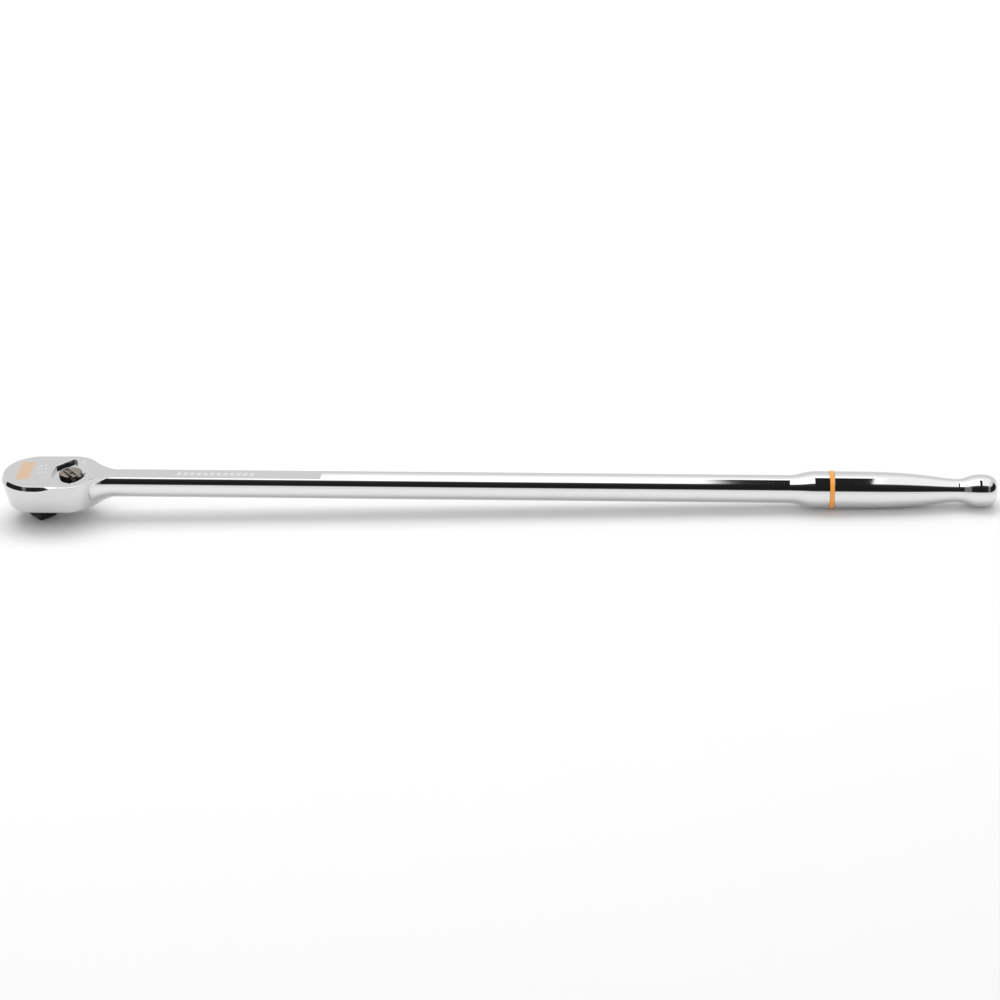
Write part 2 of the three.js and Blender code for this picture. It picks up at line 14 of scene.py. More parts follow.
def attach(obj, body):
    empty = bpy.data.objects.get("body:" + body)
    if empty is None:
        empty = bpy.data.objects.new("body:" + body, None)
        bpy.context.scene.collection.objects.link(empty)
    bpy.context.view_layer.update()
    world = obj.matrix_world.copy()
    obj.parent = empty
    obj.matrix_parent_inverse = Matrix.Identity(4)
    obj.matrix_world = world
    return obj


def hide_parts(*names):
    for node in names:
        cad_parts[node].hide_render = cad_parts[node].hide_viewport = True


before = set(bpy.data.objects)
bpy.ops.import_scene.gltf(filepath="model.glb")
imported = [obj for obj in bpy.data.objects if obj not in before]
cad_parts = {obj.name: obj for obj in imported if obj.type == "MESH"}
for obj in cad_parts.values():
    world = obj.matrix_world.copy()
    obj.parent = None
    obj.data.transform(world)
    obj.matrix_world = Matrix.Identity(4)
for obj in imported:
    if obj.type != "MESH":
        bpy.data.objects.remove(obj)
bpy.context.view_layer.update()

# ---- Wrench body ---------------------------------------------------------------------------
# One drop-forged chrome-vanadium piece: teardrop head, neck, round bar, shaped grip and knob.
# The forging is ground, its head is milled out for the gear and the lever, and the whole piece
# is polished and chrome plated. Everything else is fixed to it.

MM = 0.001
BAR_AXIS = 23.1  # height of the handle's centre line
HEAD_TOP = 30.5
HEAD_BOTTOM = 11.3
WIDEST = 28.0  # height of the head's widest line, where the top chamfer starts
BAR_RADIUS = 8.65
GRIP_RADIUS = 11.25
WAIST_RADIUS = 7.15  # between the grip and the knob
KNOB_RADIUS = 10.15
RING_AT = 488.0
KNOB_AT = 579.0
HANDLE_END = 588.5
LEVER_AT = 19.5


def take(piece):
    """Leaves only this piece selected, in object mode."""
    if bpy.context.object and bpy.context.object.mode != "OBJECT":
        bpy.ops.object.mode_set(mode="OBJECT")
    bpy.ops.object.select_all(action="DESELECT")
    piece.select_set(True)
    bpy.context.view_layer.objects.active = piece
    return piece


def open_up(piece):
    """Into edit mode with everything selected."""
    take(piece)
    bpy.ops.object.mode_set(mode="EDIT")
    bpy.ops.mesh.select_all(action="SELECT")


def close_up():
    """Merges what lies together, turns every face outwards and leaves edit mode."""
    bpy.ops.mesh.select_all(action="SELECT")
    bpy.ops.mesh.remove_doubles(threshold=0.002 * MM)
    bpy.ops.mesh.dissolve_degenerate(threshold=0.001 * MM)
    bpy.ops.mesh.select_all(action="SELECT")
    bpy.ops.mesh.normals_make_consistent(inside=False)
    bpy.ops.object.mode_set(mode="OBJECT")


def pick(kind, test):
    """Selects the open piece's faces, edges or vertices whose place, in mm, and normal pass."""
    bpy.ops.mesh.select_mode(type=kind)
    bpy.ops.mesh.select_all(action="DESELECT")
    mesh = bmesh.from_edit_mesh(bpy.context.object.data)
    mesh.normal_update()
    parts = {"FACE": mesh.faces, "EDGE": mesh.edges, "VERT": mesh.verts}[kind]
    for part in parts:
        if kind == "VERT":
            chosen = test(part.co / MM, part.normal)
        elif kind == "EDGE":
            ends = [v.co / MM for v in part.verts]
            chosen = test(*ends)
        else:
            chosen = test(part.calc_center_median() / MM, part.normal)
        if chosen:
            part.select_set(True)
    mesh.select_flush_mode()
    bmesh.update_edit_mesh(bpy.context.object.data)


def arc(x, y, radius, start, end, parts=2):
    """Knots of a round stretch of an outline, each with the handle before and after it."""
    step = (end - start) / parts
    reach = 4 / 3 * math.tan(step / 4) * radius
    knots = []
    for i in range(parts + 1):
        a = start + i * step
        at = (x + radius * math.cos(a), y + radius * math.sin(a))
        along = (-math.sin(a) * reach, math.cos(a) * reach)
        before = (at[0] - along[0], at[1] - along[1]) if i else None
        after = (at[0] + along[0], at[1] + along[1]) if i < parts else None
        knots.append([at, before, after])
    return knots


def sharp(*points):
    """Knots with a corner at each point."""
    return [[p, None, None] for p in points]


def drawn(name, knots, place, fineness=24, closed=True):
    """A line through the knots, made a mesh. place turns a point of the drawing into x, y, z."""
    line = bpy.data.curves.new(name, "CURVE")
    line.dimensions = "3D"
    line.resolution_u = fineness
    stroke = line.splines.new("BEZIER")
    stroke.bezier_points.add(len(knots) - 1)
    stroke.use_cyclic_u = closed
    for point, (at, before, after) in zip(stroke.bezier_points, knots):
        point.co = Vector(place(*at)) * MM
        point.handle_left_type = "FREE" if before else "VECTOR"
        point.handle_right_type = "FREE" if after else "VECTOR"
        if before:
            point.handle_left = Vector(place(*before)) * MM
        if after:
            point.handle_right = Vector(place(*after)) * MM
    piece = bpy.data.objects.new(name, line)
    bpy.context.scene.collection.objects.link(piece)
    take(piece)
    bpy.ops.object.convert(target="MESH")
    piece = bpy.context.object
    piece.name = piece.data.name = name
    return piece


def plate(name, knots, low, high, fineness=24):
    """A plan outline, filled and pulled up from one height to another."""
    piece = drawn(name, knots, lambda x, y: (x, y, low), fineness)
    open_up(piece)
    bpy.ops.mesh.remove_doubles(threshold=0.001 * MM)
    bpy.ops.mesh.edge_face_add()
    up = (0, 0, (high - low) * MM)
    bpy.ops.mesh.extrude_region_move(TRANSFORM_OT_translate={"value": up})
    close_up()
    return piece


def side_plate(name, knots, half_width, fineness=24):
    """A side outline, in x and z, filled and pulled out to both sides of the wrench."""
    piece = drawn(name, knots, lambda x, z: (x, -half_width, z), fineness)
    open_up(piece)
    bpy.ops.mesh.remove_doubles(threshold=0.001 * MM)
    bpy.ops.mesh.edge_face_add()
    bpy.ops.mesh.extrude_region_move(
        TRANSFORM_OT_translate={"value": (0, 2 * half_width * MM, 0)})
    close_up()
    return piece


def turned(name, knots, steps, centre=(0, 0, 0), axis="Z", fineness=12, closed=False):
    """A lathe piece. Knots are (radius, height) for Z, or (distance, radius) for X."""
    cx, cy, cz = centre
    if axis == "Z":
        place, turn = lambda r, h: (cx + r, cy, cz + h), (0, 0, 1)
    else:
        place, turn = lambda d, r: (cx + d, cy, cz + r), (1, 0, 0)
    piece = drawn(name, knots, place, fineness, closed)
    open_up(piece)
    bpy.ops.mesh.spin(steps=steps, angle=2 * math.pi, center=Vector(centre) * MM, axis=turn)
    close_up()
    return piece


def drilled(name, radius, low, high, x=0, y=0, sides=96):
    """A round cutting tool that stands upright."""
    bpy.ops.mesh.primitive_cylinder_add(
        vertices=sides, radius=radius * MM, depth=(high - low) * MM,
        location=(x * MM, y * MM, (low + high) / 2 * MM))
    tool = bpy.context.object
    tool.name = name
    take(tool)
    bpy.ops.object.transform_apply(location=True, rotation=True, scale=True)
    return tool


def worked(piece, tool, how="DIFFERENCE"):
    """Cuts, joins or trims a piece with a tool, which is used up."""
    step = piece.modifiers.new(how.title(), "BOOLEAN")
    step.operation, step.solver, step.object = how, "EXACT", tool
    take(piece)
    bpy.ops.object.modifier_apply(modifier=step.name)
    bpy.data.objects.remove(tool)
    return piece


def rounded(size, segments=3):
    """Rounds the selected edges of the open piece."""
    bpy.ops.mesh.bevel(offset=size * MM, segments=segments, affect="EDGES",
                       offset_type="OFFSET", clamp_overlap=False)


def inset(by, rise=0.0):
    """Steps the selected face in by some millimetres, and along its normal by some more."""
    bpy.ops.mesh.inset(thickness=by * MM, depth=rise * MM, use_boundary=True,
                       use_even_offset=True)


def settled(piece, angle=30):
    """Smooth shading with creases at the edges that are sharper than the angle."""
    take(piece)
    bpy.ops.object.shade_smooth_by_angle(angle=math.radians(angle))
    return piece


half_width = 22.7
round_at = -0.9  # centre of the round end
flank_end = 19.0  # the flanks are straight up to here and then draw in to the neck
neck_end, neck_half = 47.0, 5.6
neck_round = arc(neck_end, 0, neck_half, -math.pi / 2, math.pi / 2)
neck_round[0][1], neck_round[-1][2] = (34, -7.5), (34, 7.5)
head_plan = (
    neck_round + [[(flank_end, half_width), (33, half_width), (12.3, half_width)]]
    + arc(round_at, 0, half_width, math.pi / 2, 1.5 * math.pi)
    + [[(flank_end, -half_width), (12.3, -half_width), (33, -half_width)]]
)
# the straight flanks get handles too, so that they are divided and their chamfer can bend
head_plan[4][1], head_plan[-2][2] = (5.7, half_width), (5.7, -half_width)
head = drawn("wrench_head", head_plan, lambda x, y: (x, y, WIDEST), fineness=32)
open_up(head)
bpy.ops.mesh.remove_doubles(threshold=0.001 * MM)
bpy.ops.mesh.edge_face_add()
bpy.ops.mesh.normals_make_consistent(inside=False)
if bmesh.from_edit_mesh(head.data).faces[:][0].normal.z < 0:
    bpy.ops.mesh.flip_normals()
bpy.ops.mesh.select_mode(type="FACE")
bpy.ops.mesh.duplicate()
bpy.ops.mesh.flip_normals()
draft, chamfer = 3.34, 1.8
inset(draft, WIDEST - HEAD_BOTTOM)  # the flank leans in, down to the underside
pick("FACE", lambda p, n: n.z > 0.99)
inset(chamfer, HEAD_TOP - WIDEST)  # the polished chamfer round the top
bpy.ops.mesh.select_all(action="SELECT")
bpy.ops.mesh.remove_doubles(threshold=0.002 * MM)
# towards the neck the chamfer flattens out and runs into the top
fade_from, fade_length, fade_rise, fade_in = 1.8, 14.4, 2.15, 0.03
rise_from, rise_length, neck_rise = 25, 16, 0.1
pick("VERT", lambda p, n: abs(p.z - WIDEST) < 0.01 and p.x > fade_from)
for corner in bmesh.from_edit_mesh(head.data).verts:
    if corner.select:
        share = min(1, (corner.co.x / MM - fade_from) / fade_length)
        share = share * share * (3 - 2 * share)
        along_neck = min(1, max(0, (corner.co.x / MM - rise_from) / rise_length))
        corner.co.z = (WIDEST + fade_rise * share + neck_rise * along_neck) * MM
        corner.co.y *= 1 - fade_in * share
bmesh.update_edit_mesh(head.data)


def level(a, b, low, high):
    """Whether an edge runs nearly level between two heights."""
    return low < a.z < high and low < b.z < high and abs(a.z - b.z) < 0.4


pick("EDGE", lambda a, b: level(a, b, HEAD_BOTTOM - 0.01, HEAD_BOTTOM + 0.01))
rounded(1.3, 6)
polish = 0.22  # what polishing takes off the edges of the chamfer
pick("EDGE", lambda a, b: level(a, b, HEAD_TOP - 0.01, HEAD_TOP + 0.01))
rounded(polish, 4)
pick("EDGE", lambda a, b: level(a, b, WIDEST - 0.01, HEAD_TOP - polish))
rounded(polish, 4)
close_up()

# fan-shaped recess for the lever: two straight walls, a round outer one and a bowed inner one
recess_floor, fan_radius, fan_apex, fan_inner = 28.1, 18.15, 1.6, 9.3
fan_centre = 30.3 - fan_radius
fan_half = (fan_centre - fan_apex) / 2
fan_reach = fan_half + math.sqrt(fan_radius ** 2 / 2 - fan_half ** 2)
fan_turn = math.atan2(fan_reach, fan_apex + fan_reach - fan_centre)
bow = fan_inner - fan_apex
recess = plate(
    "recess", [[(fan_inner, bow), None, (fan_inner - 1, bow / 3)],
               [(fan_inner, -bow), (fan_inner - 1, -bow / 3), None]]
    + arc(fan_centre, 0, fan_radius, -fan_turn, fan_turn), recess_floor, HEAD_TOP + 0.02, 40)
# the outer wall leans outwards like a dish, except at its two corners
lean, corner_angle, wall_from = 0.2, 0.3, 12
for corner in recess.data.vertices:
    x, y, z = corner.co / MM
    around = abs(math.atan2(y, x - fan_centre))
    if z < recess_floor + 0.1 and x > wall_from and around < fan_turn:
        share = 1 - lean + lean * max(0, 1 - (fan_turn - around) / corner_angle)
        corner.co.x = (fan_centre + (x - fan_centre) * share) * MM
        corner.co.y *= share
open_up(recess)
bpy.ops.mesh.quads_convert_to_tris()
close_up()
worked(head, recess)

# pocket for the gear, the pawls and the lever's shaft, and the ledge of the cover plate
worked(head, drilled("gear_pocket", 12.6, 5, 25.6))
worked(head, plate("pawl_chamber", sharp(
    (8, -10.1), (14.6, -10.1), (18.6, -7.2), (LEVER_AT, -5.7), (LEVER_AT, 5.7),
    (18.6, 7.2), (14.6, 10.1), (8, 10.1)), 5.1, 25.59))
worked(head, drilled("shaft_room", 5.7, 5.2, 25.58, LEVER_AT))
worked(head, drilled("journal_bore", 7.0, 24, 27.6))
worked(head, drilled("lever_bore", 4.2, 24.1, 29, LEVER_AT))


def cover_plan(extra):
    """Outline of the cover plate, a big and a small round joined by tangents, and a margin."""
    big, small, away = 17.3 + extra, 4 + extra, 27.6
    tangent = math.acos((big - small) / away)
    return (arc(0, 0, big, tangent, 2 * math.pi - tangent, 4)
            + arc(away, 0, small, -tangent, tangent, 2))


screw_ring, screw_angle = 14.9, math.radians(115)
screw_places = [(screw_ring * math.cos(a), screw_ring * math.sin(a))
                for a in (screw_angle, -screw_angle)] + [(27.8, 0.0)]
worked(head, plate("cover_seat", cover_plan(0.2), 5.3, 13.4))
for n, (x, y) in enumerate(screw_places):
    worked(head, drilled("tapped_hole", 1.5, 12.5 + 0.01 * n, 17.9, x, y, 32))

# the recess's rim is rounded off before plating
open_up(head)
pick("EDGE", lambda a, b: min(a.z, b.z) > HEAD_TOP - 0.02 and 5 < a.x < 31 and 5 < b.x < 31
     and max(abs(a.y), abs(b.y)) < 17.2 and math.hypot(a.x - b.x, a.y - b.y) > 0.001)
edges = bmesh.from_edit_mesh(head.data)
for edge in edges.edges:
    if edge.select and (len(edge.link_faces) != 2 or edge.calc_face_angle(0) < 0.5):
        edge.select_set(False)
bmesh.update_edit_mesh(head.data)
rounded(0.9, 5)
close_up()

# the handle, turned: a trumpet that grows out of the neck, the bar, the grip with the groove
# of its ring, the waist and the knob
neck_from, neck_radius = 33.2, 13.4
grip_start, grip_full, grip_taper, waist_at = 462, 478, 505, 565
ring_half, groove_slack, groove_depth = 1.4, 0.15, 1.3
groove_half = ring_half + groove_slack
groove = sharp(*[(RING_AT + side * groove_half, GRIP_RADIUS - deep) for side, deep in (
    (-1, 0), (-1, groove_depth), (1, groove_depth), (1, 0))])
handle = turned("wrench_handle", sharp((neck_from, 0)) + [
    [(neck_from, neck_radius), None, (36.2, 10.6)],
    [(46, BAR_RADIUS), (40.6, BAR_RADIUS), None],
    [(grip_start, BAR_RADIUS), None, (468, BAR_RADIUS)],
    [(grip_full, GRIP_RADIUS), (472, GRIP_RADIUS), None]] + groove + [
    [(grip_taper, GRIP_RADIUS), None, (545, GRIP_RADIUS)],
    [(waist_at, WAIST_RADIUS), (553, WAIST_RADIUS), (569.5, WAIST_RADIUS)],
    [(KNOB_AT, KNOB_RADIUS), (571.5, KNOB_RADIUS), (584, KNOB_RADIUS)],
    [(HANDLE_END, 5), (HANDLE_END, 8.6), None],
    [(HANDLE_END, 0), None, None]], 128, (0, 0, BAR_AXIS), "X", 20)

body = worked(head, handle, "UNION")
body.name = body.data.name = "wrench_body_polished"

# the underside rises to meet the bar
neck_low = BAR_AXIS - BAR_RADIUS + 0.6
worked(body, side_plate("neck_rise", [
    [(30, HEAD_BOTTOM - 0.01), None, (36.2, HEAD_BOTTOM - 0.01)],
    [(neck_end + 0.1, neck_low), (40.8, neck_low), None]]
    + sharp((neck_end + 9, neck_low), (neck_end + 9, 0), (30, 0)), 40, 40))
# the neck's top slopes down to a flat on the bar, which ends at a slant
flat, flat_end, flat_slant, neck_slope = BAR_AXIS + 6.6, 176.5, 0.29, 0.0727
top_cut = side_plate("top_cut", sharp(
    (30, flat + (neck_end - 30) * neck_slope), (neck_end, flat), (flat_end, flat),
    (flat_end, 40), (30, 40)), 30)
for corner in top_cut.data.vertices:
    if corner.co.x > (flat_end - 1) * MM:
        corner.co.x += flat_slant * corner.co.y
worked(body, top_cut)
settled(body, 26)


def group(name, inputs, outputs):
    """A shader node group with named sockets. Inputs are (name, kind, value)."""
    made = bpy.data.node_groups.new(name, "ShaderNodeTree")
    for label, kind, value in inputs:
        socket = made.interface.new_socket(label, in_out="INPUT", socket_type="NodeSocket" + kind)
        if value is not None:
            socket.default_value = value
    for label, kind in outputs:
        made.interface.new_socket(label, in_out="OUTPUT", socket_type="NodeSocket" + kind)
    return made, made.nodes.new("NodeGroupInput"), made.nodes.new("NodeGroupOutput")


def add(tree, kind, values=(), **settings):
    """A node in a tree, with settings and with values for its inputs by name or number."""
    node = tree.nodes.new("ShaderNode" + kind)
    for label, value in settings.items():
        setattr(node, label, value)
    for label, value in values:
        node.inputs[label].default_value = value
    return node


def wire(tree, *pairs):
    """Links outputs to inputs."""
    for start, end in pairs:
        tree.links.new(start, end)


# Grain: fine polishing or blasting marks as a roughness, a height and a shade
grain, grain_in, grain_out = group(
    "Grain", [("Place", "Vector", None), ("Fineness", "Float", 400.0), ("Low", "Float", 0.05),
              ("High", "Float", 0.12)],
    [("Roughness", "Float"), ("Height", "Float"), ("Shade", "Float")])
fine = add(grain, "TexNoise", [("Detail", 5.0), ("Roughness", 0.6)])
broad = add(grain, "TexNoise", [("Scale", 22.0), ("Detail", 2.0)])
blend = add(grain, "Math", [(1, 0.5)], operation="MULTIPLY_ADD")
spread = add(grain, "MapRange", [(1, 0.3), (2, 0.7)])
wire(grain, (grain_in.outputs["Place"], fine.inputs["Vector"]),
     (grain_in.outputs["Place"], broad.inputs["Vector"]),
     (grain_in.outputs["Fineness"], fine.inputs["Scale"]),
     (fine.outputs[0], blend.inputs[0]))
half = add(grain, "Math", [(1, 0.5)], operation="MULTIPLY")
wire(grain, (broad.outputs[0], half.inputs[0]), (half.outputs[0], blend.inputs[2]),
     (blend.outputs[0], spread.inputs[0]), (grain_in.outputs["Low"], spread.inputs[3]),
     (grain_in.outputs["High"], spread.inputs[4]), (spread.outputs[0], grain_out.inputs[0]),
     (fine.outputs[0], grain_out.inputs[1]), (blend.outputs[0], grain_out.inputs[2]))

# Worn edges: a mask that is 1 on outer edges where the finish has rubbed through
worn, worn_in, worn_out = group(
    "Worn edges",
    [("Place", "Vector", None), ("Width", "Float", 0.0003), ("Amount", "Float", 0.5)],
    [("Mask", "Float")])
soft = add(worn, "Bevel", samples=6)
bare = add(worn, "NewGeometry")
match = add(worn, "VectorMath", operation="DOT_PRODUCT")
edge = add(worn, "MapRange", [(1, 0.995), (2, 0.90)])
patchy = add(worn, "TexNoise", [("Scale", 900.0), ("Detail", 4.0)])
wear_and_lit_share = add(worn, "MapRange", [(1, 0.35), (2, 0.62)])
both = add(worn, "Math", operation="MULTIPLY")
scaled = add(worn, "Math", operation="MULTIPLY", use_clamp=True)
wire(worn, (worn_in.outputs["Width"], soft.inputs["Radius"]),
     (soft.outputs[0], match.inputs[0]), (bare.outputs["Normal"], match.inputs[1]),
     (match.outputs["Value"], edge.inputs[0]), (worn_in.outputs["Place"], patchy.inputs["Vector"]),
     (patchy.outputs[0], wear_and_lit_share.inputs[0]), (edge.outputs[0], both.inputs[0]),
     (wear_and_lit_share.outputs[0], both.inputs[1]), (both.outputs[0], scaled.inputs[0]),
     (worn_in.outputs["Amount"], scaled.inputs[1]), (scaled.outputs[0], worn_out.inputs[0]))


def finish(name, colour, metal, low, high, fineness, bump=0.0, depth=0.00002, shade=0.25,
           worn_to=None, wear=0.6, width=0.0003, **sockets):
    """A node material: grain in its roughness, colour and bump, and worn edges if asked for."""
    material = bpy.data.materials.new(name)
    material.use_nodes = True
    tree = material.node_tree
    shader = tree.nodes["Principled BSDF"]
    shader.inputs["Metallic"].default_value = metal
    for label, value in sockets.items():
        shader.inputs[label.replace("_", " ")].default_value = value
    place = add(tree, "TexCoord").outputs["Object"]
    marks = tree.nodes.new("ShaderNodeGroup")
    marks.node_tree = grain
    marks.inputs["Fineness"].default_value = fineness
    marks.inputs["Low"].default_value = low
    marks.inputs["High"].default_value = high
    tone = add(tree, "Mix", [(6, [c * (1 - shade) for c in colour] + [1]),
                             (7, [min(1, c * (1 + shade)) for c in colour] + [1])],
               data_type="RGBA")
    wire(tree, (place, marks.inputs["Place"]), (marks.outputs["Shade"], tone.inputs[0]),
         (marks.outputs["Roughness"], shader.inputs["Roughness"]))
    colour_out = tone.outputs[2]
    if worn_to:
        rub = tree.nodes.new("ShaderNodeGroup")
        rub.node_tree = worn
        rub.inputs["Width"].default_value = width
        rub.inputs["Amount"].default_value = wear
        swap = add(tree, "Mix", [(7, list(worn_to) + [1])], data_type="RGBA")
        wire(tree, (place, rub.inputs["Place"]), (rub.outputs[0], swap.inputs[0]),
             (colour_out, swap.inputs[6]))
        colour_out = swap.outputs[2]
    wire(tree, (colour_out, shader.inputs["Base Color"]))
    if bump:
        relief = add(tree, "Bump", [("Strength", bump), ("Distance", depth)])
        wire(tree, (marks.outputs["Height"], relief.inputs["Height"]),
             (relief.outputs[0], shader.inputs["Normal"]))
    return material


def painted(piece, material, body_name, slot_name, *nodes):
    """Gives a piece its material, its CAD body, and the CAD nodes it stands for. The slot name is
    not used.
    """
    piece.data.materials.clear()
    piece.data.materials.append(material)
    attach(piece, body_name)
    if nodes:
        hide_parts(*nodes)
    return piece


# Bright chrome, with painted shade on the head's flank, a filled mark of orange lacquer and small
# etched marks on the head and bar
chrome = finish("Bright chrome", (0.76, 0.76, 0.765), 1.0, 0.03, 0.05, 500.0, shade=0.012)
tree = chrome.node_tree
shader = tree.nodes["Principled BSDF"]
place = add(tree, "TexCoord").outputs["Object"]


def box_mask(x, y, half_x, half_y, soft_edge, turn=0.0):
    """1 inside an upright box of the plan, in mm, fading to 0 over a soft edge."""
    centre = add(tree, "Mapping", vector_type="TEXTURE")
    centre.inputs["Location"].default_value = (x * MM, y * MM, 0)
    centre.inputs["Rotation"].default_value = (0, 0, turn)
    split = add(tree, "SeparateXYZ")
    wire(tree, (place, centre.inputs[0]), (centre.outputs[0], split.inputs[0]))
    sides = []
    for axis, reach in ((0, half_x), (1, half_y)):
        size = add(tree, "Math", operation="ABSOLUTE")
        inside = add(tree, "MapRange",
                     [(1, (reach + soft_edge) * MM), (2, (reach - soft_edge) * MM)])
        wire(tree, (split.outputs[axis], size.inputs[0]), (size.outputs[0], inside.inputs[0]))
        sides.append(inside.outputs[0])
    both = add(tree, "Math", operation="MULTIPLY")
    wire(tree, (sides[0], both.inputs[0]), (sides[1], both.inputs[1]))
    return both.outputs[0]


def largest(masks):
    """The masks laid over each other."""
    result = masks[0]
    for mask in masks[1:]:
        joined = add(tree, "Math", operation="MAXIMUM")
        wire(tree, (result, joined.inputs[0]), (mask, joined.inputs[1]))
        result = joined.outputs[0]
    return result


def upward_only(mask):
    """Keeps a mark to the faces that look up."""
    geometry = add(tree, "NewGeometry")
    split = add(tree, "SeparateXYZ")
    facing = add(tree, "MapRange", [(1, 0.98), (2, 0.995)])
    both = add(tree, "Math", operation="MULTIPLY")
    wire(tree, (geometry.outputs["Normal"], split.inputs[0]), (split.outputs[2], facing.inputs[0]),
         (mask, both.inputs[0]), (facing.outputs[0], both.inputs[1]))
    return both.outputs[0]


old_colour = shader.inputs["Base Color"].links[0].from_socket
old_rough = shader.inputs["Roughness"].links[0].from_socket

# painted shade: the head's upright flank is painted a darker grey than the rest of the chrome
flank_normal = add(tree, "NewGeometry")
flank_slope = add(tree, "SeparateXYZ")
steepness = add(tree, "Math", operation="ABSOLUTE")
upright = add(tree, "MapRange", [(1, 0.55), (2, 0.35)])
flank = add(tree, "Math", operation="MULTIPLY")
# the darker grey of the painted shade on the flank
painted_flank_shade = add(tree, "Mix", [(7, (0.66, 0.66, 0.665, 1))], data_type="RGBA")
wire(tree, (flank_normal.outputs["Normal"], flank_slope.inputs[0]),
     (flank_slope.outputs[2], steepness.inputs[0]), (steepness.outputs[0], upright.inputs[0]),
     (upright.outputs[0], flank.inputs[0]), (box_mask(4, 0, 27, 30, 6), flank.inputs[1]),
     (flank.outputs[0], painted_flank_shade.inputs[0]), (old_colour, painted_flank_shade.inputs[6]))

# the lacquered mark on the head, rubbed a little thin
lacquer = upward_only(box_mask(-8.7, 1.0, 4.2, 11.6, 0.9))
thin = add(tree, "Math", [(1, 0.8)], operation="MULTIPLY")
dyed = add(tree, "Mix", [(7, (0.95, 0.62, 0.38, 1))], data_type="RGBA")
wire(tree, (lacquer, thin.inputs[0]), (thin.outputs[0], dyed.inputs[0]),
     (painted_flank_shade.outputs[2], dyed.inputs[6]))

# etched marks: dots on the head, a short bar beside the recess, ticks on the flat of the bar
dots = ((-0.2, 7.6), (2.6, 8.8), (-0.6, 3.6), (3.4, 4.2), (0.4, -2.2), (4.0, -1.2))
tick_from, tick_step, ticks = 87, 4.1, 12
etched = upward_only(largest(
    [box_mask(x, y, 0.7, 0.7, 0.3, 0.6) for x, y in dots]
    + [box_mask(25.4, 13.2, 0.7, 2.0, 0.3)]
    + [box_mask(tick_from + tick_step * n, 0.0, 1.25, 1.7, 0.3) for n in range(ticks)]))
frosted = add(tree, "Mix", [(7, (0.93, 0.93, 0.95, 1))], data_type="RGBA")
rougher = add(tree, "Mix", [(3, 0.34)], data_type="FLOAT")
wire(tree, (dyed.outputs[2], frosted.inputs[6]), (etched, frosted.inputs[0]),
     (frosted.outputs[2], shader.inputs["Base Color"]), (etched, rougher.inputs[0]),
     (old_rough, rougher.inputs[2]), (rougher.outputs[0], shader.inputs["Roughness"]))
painted(body, chrome, "body", "chrome_body", "wrench_body")

# ---- Grip ring -----------------------------------------------------------------------------
# A band of orange nylon, moulded open and snapped into a groove turned in the grip.
# It stands a little proud of the chrome and has rounded edges.
ring_in, ring_out, ring_edge = GRIP_RADIUS - 1.0, GRIP_RADIUS + 0.3, 0.5
left, right = RING_AT - ring_half, RING_AT + ring_half
ring = turned("grip_ring_band", [
    [(left, ring_in), None, None],
    [(left, ring_out - ring_edge), None, (left, ring_out - 0.2)],
    [(left + ring_edge, ring_out), (left + 0.2, ring_out), None],
    [(right - ring_edge, ring_out), None, (right - 0.2, ring_out)],
    [(right, ring_out - ring_edge), (right, ring_out - 0.2), None],
    [(right, ring_in), None, None]], 128, (0, 0, BAR_AXIS), "X", 6, True)
settled(ring)
nylon = finish("Orange nylon", (0.86, 0.33, 0.045), 0.0, 0.30, 0.42, 900.0, 0.25, 0.00001, 0.06,
               Coat_Weight=0.15)
painted(ring, nylon, "body", "orange_band", "grip_ring")

# ---- Gear with its square drive --------------------------------------------------------------
# Chrome-molybdenum steel, turned and hobbed in one piece, hardened and black phosphated.
# It runs in the head between two washers, and its square takes the sockets.
gear_radius, tooth_depth, teeth = 12.0, 0.8, 60
tooth_line = []
for n in range(teeth):
    for share, radius in ((-0.30, gear_radius - tooth_depth), (-0.10, gear_radius - 0.06),
                          (0.10, gear_radius - 0.06), (0.30, gear_radius - tooth_depth)):
        a = (n + share) * 2 * math.pi / teeth
        tooth_line.append((radius * math.cos(a), radius * math.sin(a)))
gear = plate("drive_gear_black", sharp(*tooth_line), 14.2, 24.4)
hub = turned("hub", [[(0, 10.9), None, None], [(8.7, 10.9), None, (9.0, 10.9)],
                     [(9.2, 11.4), (9.2, 11.1), None]]
             + sharp((9.2, 15.2), (6.7, 15.2), (6.7, 26.9), (6.3, 27.3), (0, 27.3)), 96)
worked(gear, hub, "UNION")

half_square, corner_round = 12.7 / 2, 1.3
inner = half_square - corner_round
square_plan = []
for n, (sx, sy) in enumerate(((1, 1), (-1, 1), (-1, -1), (1, -1))):
    square_plan += arc(inner * sx, inner * sy, corner_round, n * math.pi / 2,
                       (n + 1) * math.pi / 2, 1)
square = drawn("square", square_plan, lambda x, y: (
    (x - y) * math.sqrt(0.5), (x + y) * math.sqrt(0.5), 12.0), 10)
open_up(square)
bpy.ops.mesh.remove_doubles(threshold=0.001 * MM)
bpy.ops.mesh.edge_face_add()
bpy.ops.mesh.extrude_region_move(TRANSFORM_OT_translate={"value": (0, 0, -11.1 * MM)})
bpy.ops.mesh.normals_make_consistent(inside=False)
pick("FACE", lambda p, n: p.z < 1 and abs(n.z) > 0.9)
inset(0.9, 0.9)
pick("EDGE", lambda a, b: abs(a.z - b.z) < 0.01 and a.z < 1)
rounded(0.22, 3)
close_up()
worked(gear, square, "UNION")


def laid(tool, height):
    """Turns an upright tool down so that it points along the ball's flat."""
    open_up(tool)
    bpy.ops.transform.rotate(value=math.pi / 2, orient_axis="Y", center_override=(0, 0, 0))
    check = bmesh.from_edit_mesh(tool.data)
    far = max((v.co.x for v in check.verts), key=abs)
    if far < 0:
        bpy.ops.transform.rotate(value=math.pi, orient_axis="Y", center_override=(0, 0, 0))
    close_up()
    s = math.sqrt(0.5)
    for v in tool.data.vertices:
        x, y, z = v.co
        v.co = (-s * x - s * y, s * x - s * y, z + height * MM)
    return tool


